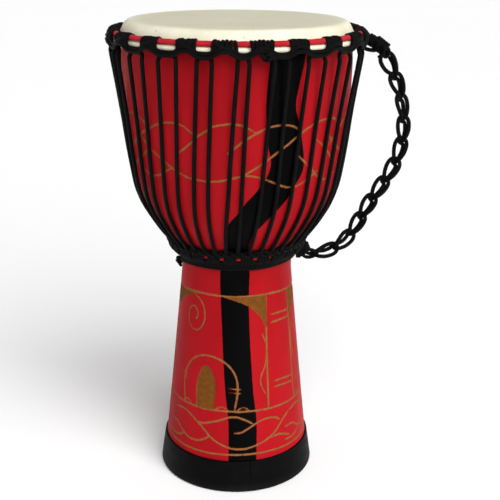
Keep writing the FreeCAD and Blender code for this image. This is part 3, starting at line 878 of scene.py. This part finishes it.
def make_cradle_rope(number, in_gap, on_hitch):
    """A rope that hangs in a shallow U under each gap and lifts over the outside of each hitch."""
    points = []
    for index in range(LOOPS):
        centre = gap_centre(index)
        half = gap_half_width(index)
        start, end = hitch_span(index)
        low = np.add(in_gap, rng.uniform(-0.5, 0.5, 2))
        high = np.add(on_hitch, rng.uniform(-0.7, 0.7, 2))
        points.append(polar(centre - 0.6 * half, *low))
        points.append(polar(centre + 0.6 * half, *low))
        for share, rise in CRADLE_LIFT:
            radius, z = low + (high - low) * rise
            points.append(polar(start + share * (end - start), radius, z))
    grids = Grids()
    grids.rope_through(points, ROPE_RADIUS - 0.1, closed=True)
    grids.make("cradle_rope_%d" % number, rope_black, "crown")


def knot(grids, azimuth, radius, z, size, flatten, radius_of_rope, tilt=0.0):
    """A closed overhand knot lying against the drum."""
    t = np.linspace(0, 2 * np.pi, 40, endpoint=False)
    across = size * (np.sin(t) + 2 * np.sin(2 * t)) / 3
    up = size * flatten * (np.cos(t) - 2 * np.cos(2 * t)) / 3
    out = -size * 0.55 * np.sin(3 * t)
    cos, sin = math.cos(tilt), math.sin(tilt)
    across, up = across * cos - up * sin, across * sin + up * cos
    points = polar(azimuth + np.degrees(across / radius), radius + out, z + up)
    grids.rope_through(points, radius_of_rope, 1.2, closed=True)


def make_crown_knot():
    grids = Grids()
    azimuth, radius, z = 12.3, 161.2, 574.6
    knot(grids, azimuth, radius, z, 6.6, 0.62, 2.3)
    stub = [polar(azimuth + 0.6, radius + 2.0, z + 0.4), polar(azimuth + 2.0, radius + 2.6, z - 1.2),
            polar(azimuth + 2.9, radius + 1.6, z - 3.0)]
    grids.rope_through(stub, 2.1, 1.2)
    piece = grids.make("crown_knot", rope_black, "crown")
    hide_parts("crown_rope_knot")


for loop in range(LOOPS):
    make_hitch(loop)
for number, (in_gap, on_hitch) in enumerate(CRADLE_ROPES, 1):
    make_cradle_rope(number, in_gap, on_hitch)
make_crown_knot()


# ---- lacing ----
# A run lies on the shoulder up to the knee, as (radius, height), and goes straight from there to the
# crown. Its foot at the waist stands FOOT_SHIFT degrees from even spacing.
KNEE = (131.4, 404.0)
CROWN_END = (154.2, 560.0)
SHOULDER_START = 341.5
FOOT_SHIFT = -7.1
KNEE_SHARE = 0.6            # of the way round from crown to foot, where the knee is
FOOT_SHARE = 0.15           # of the way round from foot to knee, reached at the shoulder's start


def make_lacing(index):
    """One bight: up from the waist, behind the cradle rope and down again, close over the shoulder."""
    middle = gap_centre(index)
    half = gap_half_width(index)
    foot = LOOP_PITCH * index + FOOT_SHIFT
    legs = []
    for top, base in ((middle - half, foot), (middle + half, foot + LOOP_PITCH / 2)):
        knee = top + KNEE_SHARE * (base - top) + rng.uniform(-0.5, 0.5)
        leg = [polar(base, 88.2, 325.5), polar(base, 93.6, 332.0),
               polar(base + FOOT_SHARE * (knee - base), 101.0, SHOULDER_START)]
        for z in (356.0, 371.0, 386.0, KNEE[1]):
            share = (z - SHOULDER_START) / (KNEE[1] - SHOULDER_START)
            leg.append(polar(base + (FOOT_SHARE + (1 - FOOT_SHARE) * share) * (knee - base),
                             shell_radius(z) + 3.1 + 0.6 * share, z))
        for share in (0.25, 0.5, 0.75):
            straight, z = np.array(KNEE) + share * np.subtract(CROWN_END, KNEE)
            leg.append(polar(knee + share * (top - knee), max(straight, shell_radius(z) + 3.0), z))
        leg.append(polar(top, 154.5, CROWN_END[1]))
        leg.append(polar(top, 154.2, 566.0))
        legs.append(leg)
    bight = [polar(middle - half * 0.8, 152.6, 570.6), polar(middle, 151.6, 572.4),
             polar(middle + half * 0.8, 152.6, 570.6)]
    grids = Grids()
    grids.rope_through(legs[0] + bight + legs[1][::-1])
    piece = grids.make("lacing_rope_%02d" % (index + 1), rope_black)
    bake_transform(piece)
    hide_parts("lacing_%02d" % (index + 1))


for loop in range(LOOPS):
    make_lacing(loop)


# ---- waist ----
# One turn of a hitch over the bottom ring, as (radius, height).
BOTTOM_SECTION = [(85.4, 325.0), (87.3, 321.6), (87.6, 317.6), (86.2, 314.0), (82.8, 311.9)]
BOTTOM_TURN = 2.5           # degrees from turn to turn
OPEN_REACH = 36             # degrees either side of the front where every hitch has 4 turns, not 5
OPEN_SHARE = 0.4            # of the other hitches with 4


def make_bottom_loops():
    """Hitches over the bottom ring, under a plaited band that the lacing runs through."""
    grids = Grids()
    pitch = 360.0 / BOTTOM_LOOPS
    across = np.linspace(0, 360, BOTTOM_LOOPS * 8, endpoint=False)
    for phase in (0.0, 180.0):
        swing = np.radians((across - FIRST_BOTTOM_GAP) * BOTTOM_LOOPS + phase)
        line = polar(across, 88.9 + 1.4 * np.sin(swing), 325.2 + 2.7 * np.cos(swing))
        grids.rope_through(line, 2.3, closed=True)
    for index in range(BOTTOM_LOOPS):
        middle = FIRST_BOTTOM_GAP + (index + 0.5) * pitch
        front = abs((middle + 180) % 360 - 180) < OPEN_REACH
        turns = 4 if front or rng.random() < OPEN_SHARE else 5
        for step in range(turns):
            azimuth = middle + (step - (turns - 1) / 2) * BOTTOM_TURN
            lean = rng.uniform(-0.6, 0.6)
            points = [polar(azimuth + lean * (k - 2) / 2, radius + rng.uniform(-0.2, 0.2), z)
                      for k, (radius, z) in enumerate(BOTTOM_SECTION)]
            grids.rope_through(points, 2.3)
    for radius, z in ((83.6, 313.2), (80.9, 309.4)):
        line = polar(across, radius + ripple(across, z, 5, 9, 1, 0.5),
                     z + ripple(across, z, 5, 9, 1, 0.8))
        grids.rope_through(line, 2.4, closed=True)
    piece = grids.make("waist_loops", rope_black, "drum")
    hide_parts("bottom_loops")


def make_winding():
    """The spare end of the lacing, wound down round the waist and knotted at the side."""
    turns = 3
    start, end = 268.0, 286.0
    top, drop, last_drop = 311.0, 9.2, 4.5
    swept = start - end + 360 * turns
    share = np.linspace(0, 1, 220)
    z = top - share * drop + ripple(share * swept, 0 * share, 5, 6, 1, 0.4)
    z = z - last_drop * np.clip((share - 0.95) / 0.05, 0, 1) ** 2
    radius = shell_radius(z + 1.0) + 2.6
    grids = Grids()
    grids.rope_through(polar(start - share * swept, radius, z))
    piece = grids.make("waist_winding_rope", rope_black, "drum")
    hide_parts("waist_winding")
    knotted = Grids()
    knot(knotted, end, 76.8, 295.6, 5.0, 0.75, 2.1, tilt=0.5)
    tail = [polar(end, 77.8, 294.0), polar(end + 2.5, 77.6, 291.5), polar(end + 3.5, 76.4, 289.4)]
    knotted.rope_through(tail, 2.1, 1.5)
    piece = knotted.make("waist_knot", rope_black, "drum")
    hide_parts("winding_knot")


make_bottom_loops()
make_winding()


# ---- handle ----
def nurbs_line(points):
    """Points read from a smooth curve whose control points are the route."""
    curve = bpy.data.curves.new("handle_route", "CURVE")
    curve.dimensions = "3D"
    curve.resolution_u = 24
    spline = curve.splines.new("NURBS")
    spline.points.add(len(points) - 1)
    for place, point in zip(spline.points, points):
        place.co = (point[0] * MM, point[1] * MM, point[2] * MM, 1.0)
    spline.order_u = 3
    spline.use_endpoint_u = True
    holder = bpy.data.objects.new("handle_route", curve)
    mesh = bpy.data.meshes.new_from_object(holder)
    line = [tuple(vertex.co) for vertex in mesh.vertices]
    bpy.data.objects.remove(holder)
    bpy.data.meshes.remove(mesh)
    return line


LINKS = 11
# One link of the chain: distance along in links, sideways (+ away from the drum) and towards the
# front in millimetres. Its last three points are the strand along the back.
CHAIN_LINK = [
    (-0.12, -1.4, -3.4), (0.02, -2.4, -0.4), (0.16, -3.8, 2.2), (0.40, -6.2, 2.0), (0.68, -7.4, 1.0),
    (0.92, -6.4, -0.2), (1.06, -3.8, -1.0), (1.11, 0.0, -1.2), (1.06, 4.0, -1.0), (0.94, 7.0, -0.4),
    (0.74, 8.0, 0.8), (0.44, 7.0, 1.8), (0.18, 4.4, 2.2), (0.02, 2.8, -0.6), (-0.08, 1.8, -3.4),
    (0.14, 3.4, -4.0), (0.45, 4.6, -3.6), (0.76, 4.2, -3.8)]
BACK_STRAND = 3
# In the first links, at the waist, the back strand is nearer the drum. The last link is wider inwards.
WAIST_LINKS = 2
WAIST_SHIFT = -4.0
LAST_SHIFT = -1.2
# The chain turns about its own line, in radians: most near one link, and a little all along.
TWIST, TWIST_LINK, TWIST_SPREAD = -0.5, 8.8, 1.5
SWAY, SWAY_RATE = 0.06, 1.7


def make_handle():
    """One rope chained into links along the route, from the waist up."""
    route = nurbs_line(HANDLE_ROUTE)
    line = np.array(route)[::-1] / MM
    run = distances(line)
    link = run[-1] / LINKS
    ahead = unit(np.gradient(line, axis=0))
    front = np.array([0.0, -1.0, 0.0])
    outward = unit(np.cross(ahead, front))

    def place(along, side, out):
        s = np.clip(along * link, 0, run[-1])
        beyond = along * link - s
        centre = np.array([np.interp(s, run, line[:, k]) for k in range(3)])
        forward = unit(np.array([np.interp(s, run, ahead[:, k]) for k in range(3)]))
        across = unit(np.array([np.interp(s, run, outward[:, k]) for k in range(3)]))
        twist = TWIST * math.exp(-((along - TWIST_LINK) / TWIST_SPREAD) ** 2)
        twist -= SWAY * math.sin(SWAY_RATE * along)
        cos, sin = math.cos(twist), math.sin(twist)
        return (centre + forward * beyond + across * (side * cos - out * sin)
                + front * (out * cos + side * sin))

    points = []
    for index in range(LINKS):
        spread = 1.0 + rng.uniform(-0.05, 0.05)
        for k, (along, side, out) in enumerate(CHAIN_LINK):
            if index < WAIST_LINKS and k >= len(CHAIN_LINK) - BACK_STRAND:
                side += WAIST_SHIFT
            if index == LINKS - 1 and side < -5:
                side += LAST_SHIFT
            points.append(place(index + along, side * spread, out))
    grids = Grids()
    grids.rope_through(points, 2.6, 1.6)
    handle = grids.make("chain_handle", rope_black, "handle")
    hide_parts("handle_rope")
    return handle, route


def wraps(grids, centre, axis, reach, turns, width, radius, squash=1.0):
    """Turns of rope round an axis, side by side, each squash times as wide along Y."""
    axis = unit(np.asarray(axis, float))
    first = unit(np.cross(axis, (0.0, 1.0, 0.0)))
    second = np.cross(axis, first)
    t = np.linspace(0, 1, int(turns * 20))
    angle = t * turns * 2 * np.pi
    points = (np.asarray(centre, float) + axis * ((t - 0.5) * width)[:, None]
              + first * (reach * np.cos(angle))[:, None]
              + second * (reach * squash * np.sin(angle))[:, None])
    grids.rope(respace(points, FINE_STEP), radius)


def make_top_lashing():
    """Rope passed round the crown ring and the chain's last link, then wrapped round itself."""
    grids = Grids()
    for lift, depth in ((0.6, -5.0), (1.2, 0.3), (-0.6, 5.4)):
        behind = 0.8 * depth + 4.5
        loop = [(151.5, behind, 590.0), (156.6, behind, 585.6 + lift), (163.0, depth, 578.6 + lift),
                (171.0, depth * 0.9, 575.2 + lift), (179.0, depth * 0.8, 571.4 + lift),
                (185.4, depth * 0.7, 565.5), (186.8, depth * 0.6, 559.5), (183.0, depth * 0.5, 555.0),
                (179.0, depth * 0.7, 560.0), (172.0, depth * 0.9, 567.5), (163.0, depth, 574.0),
                (157.6, behind, 577.5), (153.6, behind, 583.0)]
        grids.rope_through(loop, 2.35, FINE_STEP, closed=True)
    wraps(grids, (176.5, 0.0, 568.5), (0.80, 0.12, -0.60), 6.8, 4.0, 15.0, radius=2.3)
    wraps(grids, (166.0, -1.0, 574.6), (0.88, -0.25, -0.47), 5.6, 2.2, 8.0, radius=2.3, squash=1.3)
    for depth in (-2.6, 2.6):
        brace = [(155.4, depth, 571.0), (157.5, depth, 565.5), (162.5, depth, 563.6), (168.5, depth, 563.0),
                 (174.0, depth, 565.0)]
        grids.rope_through(brace, 2.25, FINE_STEP)
    curl = [(178.5, -7.5, 570.0), (180.0, -8.6, 564.5), (178.2, -8.6, 558.6), (174.6, -7.6, 556.0)]
    grids.rope_through(curl, 2.25, 1.4)
    piece = grids.make("handle_top_binding", rope_black, "crown")
    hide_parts("handle_top_lashing")
    return piece


def make_bottom_lashing():
    """The chain's first link, its strands drawn in to the waist and bound up to the bottom ring."""
    grids = Grids()
    upper = [(106.0, -1.5, 299.5), (100.0, -2.5, 303.2), (93.5, -2.6, 304.0), (87.0, -3.2, 300.4),
             (81.0, -4.0, 297.4)]
    lower = [(106.0, 1.5, 296.6), (99.0, 1.8, 292.8), (91.5, 1.4, 292.6), (86.0, 2.6, 296.4),
             (81.0, 4.0, 301.0)]
    across = [(104.0, 0.0, 298.4), (98.0, 1.6, 297.0), (92.0, -0.6, 299.4), (86.5, 0.6, 303.6)]
    for strand in (upper, lower, across):
        grids.rope_through(strand, 2.4, FINE_STEP)
    for depth in (-5.0, 0.0, 5.0):
        loop = [(87.6, depth, 316.0), (90.2, depth, 310.6), (90.6, depth * 0.9, 304.0),
                (87.6, depth * 0.9, 298.6), (84.0, depth, 297.6), (83.4, depth, 304.5),
                (85.4, depth, 311.5)]
        grids.rope_through(loop, 2.3, FINE_STEP, closed=True)
    wraps(grids, (87.6, 0.0, 306.6), (0.35, 0.1, -0.93), 6.6, 2.2, 7.5, radius=2.2, squash=0.8)
    wraps(grids, (81.6, 0.0, 299.2), (0.99, 0.1, 0.0), 5.0, 2.2, 5.0, radius=2.3)
    piece = grids.make("handle_foot_binding", rope_black, "drum")
    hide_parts("handle_bottom_lashing")
    return piece


chain, chain_route = make_handle()
top_binding = make_top_lashing()
foot_binding = make_bottom_lashing()


# ---- CAD parts that stay ----
for node_name, material in (("crown_ring", steel), ("bottom_ring", steel), ("flesh_ring", steel),
                            ("rubber_foot", rubber_black)):
    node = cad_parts[node_name]
    node.data.materials.clear()
    node.data.materials.append(material)


# ---- studio ----
FLOOR_REACH = 20000.0
FLOOR_Z = -0.5
CAMERA_PLACE = (0.0176, -1.2156, 0.7105)
CAMERA_DOWN = 0.3242        # radians below level
CAMERA_ROLL = 0.0071


def make_floor():
    corners = FLOOR_REACH * np.array([(-1, -1, 0), (1, -1, 0), (1, 1, 0), (-1, 1, 0)], float)
    corners[:, 2] = FLOOR_Z
    f = Finish("studio_floor", Roughness=0.9, Specular_IOR_Level=0.1)
    tone = f.noise(f.place(), 0.6, 2.0)
    f.set(Base_Color=f.mix(tone, (0.96, 0.96, 0.96, 1), (0.98, 0.98, 0.98, 1)))
    floor = make_mesh("studio_floor", corners, [[0, 1, 2, 3]], f.material)


def aimed(name, light, place, target):
    """A lamp at a place, turned so that its -Z axis points at the target."""
    holder = bpy.data.objects.new(name, light)
    aim = np.asarray(target, float) - np.asarray(place, float)
    holder.location = place
    yaw = math.atan2(aim[1], aim[0]) - math.pi / 2
    pitch = math.atan2(aim[2], math.hypot(aim[0], aim[1])) + math.pi / 2
    holder.rotation_euler = (pitch, 0.0, yaw)
    bpy.context.scene.collection.objects.link(holder)


def add_sun():
    sun = bpy.data.lights.new("sun", "SUN")
    sun.energy = 3.3
    sun.angle = math.radians(55)
    aimed("sun", sun, (1.0, -2.0, 2.3), (0, 0, 0.3))


def add_softbox():
    box = bpy.data.lights.new("softbox", "AREA")
    box.shape = "DISK"
    box.size = 1.6
    box.energy = 14.0
    aimed("softbox", box, (1.6, -2.2, 1.5), (0, 0, 0.4))


def make_camera():
    camera = bpy.data.cameras.new("camera")
    camera.lens = 70.03
    camera.sensor_width = 36.0
    camera.clip_end = 200.0
    holder = bpy.data.objects.new("camera", camera)
    holder.matrix_world = (Matrix.Translation(CAMERA_PLACE)
                           @ Matrix.Rotation(math.pi / 2 - CAMERA_DOWN, 4, "X")
                           @ Matrix.Rotation(CAMERA_ROLL, 4, "Z"))
    bpy.context.scene.collection.objects.link(holder)
    bpy.context.scene.camera = holder


def make_world():
    """Pale all round at the horizon, dimmer overhead."""
    world = bpy.data.worlds.new("studio")
    world.use_nodes = True
    tree = world.node_tree
    background = tree.nodes["Background"]
    direction = tree.nodes.new("ShaderNodeTexCoord")
    split = tree.nodes.new("ShaderNodeSeparateXYZ")
    fade = tree.nodes.new("ShaderNodeMapRange")
    tree.links.new(direction.outputs["Generated"], split.inputs[0])
    tree.links.new(split.outputs["Z"], fade.inputs["Value"])
    tree.links.new(fade.outputs["Result"], background.inputs["Strength"])
    for socket, value in (("From Min", 0.0), ("From Max", 0.35), ("To Min", 1.06), ("To Max", 0.3)):
        fade.inputs[socket].default_value = value
    background.inputs["Color"].default_value = (1.0, 1.0, 1.0, 1.0)
    bpy.context.scene.world = world


make_floor()
make_camera()
make_world()
add_sun()
add_softbox()
bpy.context.scene.view_settings.view_transform = "Standard"
